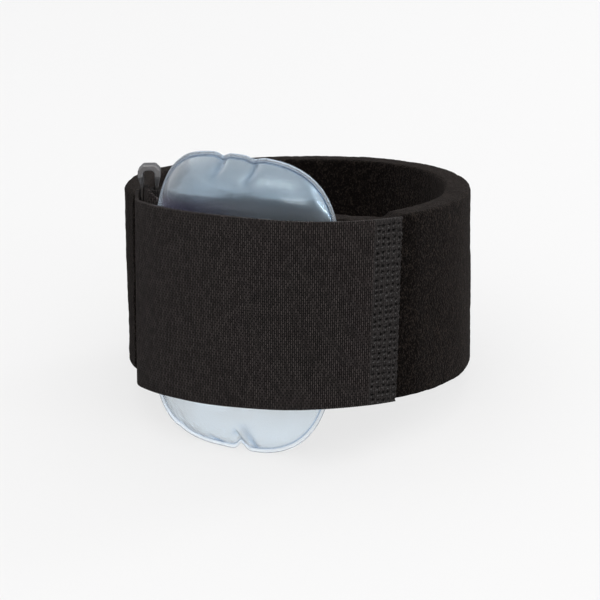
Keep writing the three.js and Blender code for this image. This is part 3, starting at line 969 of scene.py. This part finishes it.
def weld_material():
    """Tape fused flat, with its stitches faint, painted shade in its pits and between stitches, pale beads
    and specks.
    """
    shader = Shader("welded_tape", Roughness=0.6, Specular_IOR_Level=0.1)
    colour, hollow, raised = stitches(shader, WELD_TONES_AND_SHADE)
    # Pits darken with painted shade by their depth; beads turn pale by their height
    for low, high, tone in (PIT_SHADE, BEAD_SHADE):
        colour = shader.mix(shader.share(raised, low, high), colour, grey(tone))
    on_tape = shader.vectors("MULTIPLY", shader.kept("detail"), GRAIN_SCALE)
    grain = shader.noise(on_tape, size=0.3)
    specks = shader.share(grain, *SPECK_GRAIN)
    shader.feed("Base Color", shader.mix(specks, colour, SPECK_COLOUR))
    normal = shader.bump(grain, depth=0.06)
    shader.bump(hollow, depth=0.05, after=normal, inward=True)
    return shader.material


def ring_material():
    """Moulded plastic, grey on the head that stands clear of the fold, with painted shade on its bars down in
    the fold.
    """
    shader = Shader("moulded_plastic", Roughness=0.36)
    place = shader.kept("upright")
    clear = shader.share(shader.parts(place)["Z"], *RING_SHADE_HEIGHTS)
    # Painted shade on the bars down in the fold, fading to the plastic's own grey on the head
    shader.feed("Base Color", shader.ramp(clear, ((0.0, RING_PAINTED_SHADE), (1.0, RING_GREY))))
    shader.bump(shader.noise(place, size=0.35), depth=0.03)
    return shader.material


def vinyl_material():
    """Clear film, milky along its weld and its cut edge, with dark blue painted shade along its groove, cut
    edge and creases and painted shade beside the strap.
    """
    shader = Shader(
        "clear_vinyl",
        Roughness=0.24,
        IOR=1.5,
        Specular_Tint=(0.55, 0.79, 1.0, 1),
        Coat_Weight=0.2,
        Coat_Roughness=0.13,
    )
    parts = shader.parts(shader.kept("detail"))
    line_shade, edge, smoky = parts["X"], parts["Y"], parts["Z"]
    # Plain film colour, darkened by painted line shade and by painted shade beside the strap
    shader.feed("Base Color", shader.mix(smoky, shader.ramp(line_shade, FILM_COLOUR_AND_SHADE), FILM_SHADE_COLOUR))
    # Reflections are dimmed under the painted line shade too
    shader.feed("Specular IOR Level", shader.grey_ramp(line_shade, FILM_GLOSS))
    rim = shader.share(edge, 0.0, PAD_FLANGE + CLEAR_PAST_FLANGE)
    shader.feed("Transmission Weight", shader.grey_ramp(rim, CLEAR_FROM_EDGE))
    shader.bump(shader.noise(shader.kept("upright"), size=5.0), depth=0.12)
    return shader.material


def dress(piece, material):
    piece.data.materials.clear()
    piece.data.materials.append(material)


def build_cuff():
    dress(foam_band(), pile_material())
    strap, weld = closure_strap()
    dress(strap, weave_material("woven_tape", STRAP_TONES_AND_SHADE))
    dress(weld, weld_material())
    dress(ring_tab(), weave_material("tab_webbing", TAB_TONES_AND_SHADE))
    dress(strap_ring(), ring_material())
    dress(air_pad(), vinyl_material())


def add_floor():
    """A white table that glows a little. No gloss shows it, and through the film only its part under the
    cuff shows."""
    shader = Shader("floor_white", Roughness=0.9, Emission_Strength=FLOOR_GLOW, Emission_Color=(1, 1, 1, 1))
    place = shader.node("ShaderNodeTexCoord").outputs["Object"]
    cloud = shader.noise(place, size=0.8, detail=1)
    shader.feed("Base Color", shader.grey_ramp(cloud, ((0.3, 0.112), (0.7, 0.12))))
    corners = []
    for left, front, right, back in (FLOOR, FLOOR_UNDER):
        corners += [(left, front, 0), (right, front, 0), (right, back, 0), (left, back, 0)]
    around = [(i, (i + 1) % 4, (i + 1) % 4 + 4, i + 4) for i in range(4)]
    for name, points, faces in (("floor", corners, around), ("floor_under", corners[4:], [(0, 1, 2, 3)])):
        mesh = bpy.data.meshes.new(name)
        mesh.from_pydata(points, [], faces)
        floor = bpy.data.objects.new(name, mesh)
        bpy.context.scene.collection.objects.link(floor)
        dress(floor, shader.material)
        floor.visible_glossy = False
        floor.visible_transmission = name == "floor_under"


def add_softbox(name, kind, place, aim, size, power, roll, colour):
    """A soft light. A card only shows in gloss and through the film, and a fill in neither."""
    light = bpy.data.lights.new(name, "AREA")
    light.shape = "RECTANGLE"
    light.size, light.size_y = size
    light.energy = power
    light.color = colour
    box = bpy.data.objects.new(name, light)
    bpy.context.scene.collection.objects.link(box)
    box.location = place
    box.rotation_euler = (Vector(aim) - Vector(place)).to_track_quat("-Z", "Y").to_euler()
    box.rotation_euler.rotate_axis("Z", math.radians(roll))
    box.visible_diffuse = kind != "card"
    box.visible_glossy = kind != "fill"
    box.visible_transmission = kind != "fill"


def add_lights():
    world = bpy.data.worlds.new("studio")
    world.use_nodes = True
    background = world.node_tree.nodes["Background"]
    background.inputs["Color"].default_value = STUDIO_COLOUR
    background.inputs["Strength"].default_value = STUDIO_STRENGTH
    bpy.context.scene.world = world
    for row in LIGHTS:
        add_softbox(*row)


def add_camera():
    """The photograph's own view of the cuff, which leans with it."""
    c, s = math.cos(CAMERA_ELEVATION), math.sin(CAMERA_ELEVATION)
    back, right, up = Vector((0, -c, s)), Vector((1, 0, 0)), Vector((0, s, c))
    rc, rs = math.cos(CAMERA_ROLL), math.sin(CAMERA_ROLL)
    axes = (rc * right + rs * up, rc * up - rs * right, back)
    place = (Vector(CAMERA_AIM) + back * CAMERA_DISTANCE) * MM
    data = bpy.data.cameras.new("camera")
    data.sensor_width = SENSOR
    data.lens = SENSOR * CAMERA_FOCAL
    camera = bpy.data.objects.new("camera", data)
    bpy.context.scene.collection.objects.link(camera)
    own = Matrix([(*row, at) for row, at in zip(Matrix(axes).transposed(), place)] + [(0, 0, 0, 1)])
    camera.matrix_world = REST @ own
    bpy.context.scene.camera = camera


build_cuff()
add_floor()
add_lights()
add_camera()
bpy.context.scene.view_settings.view_transform = "Standard"
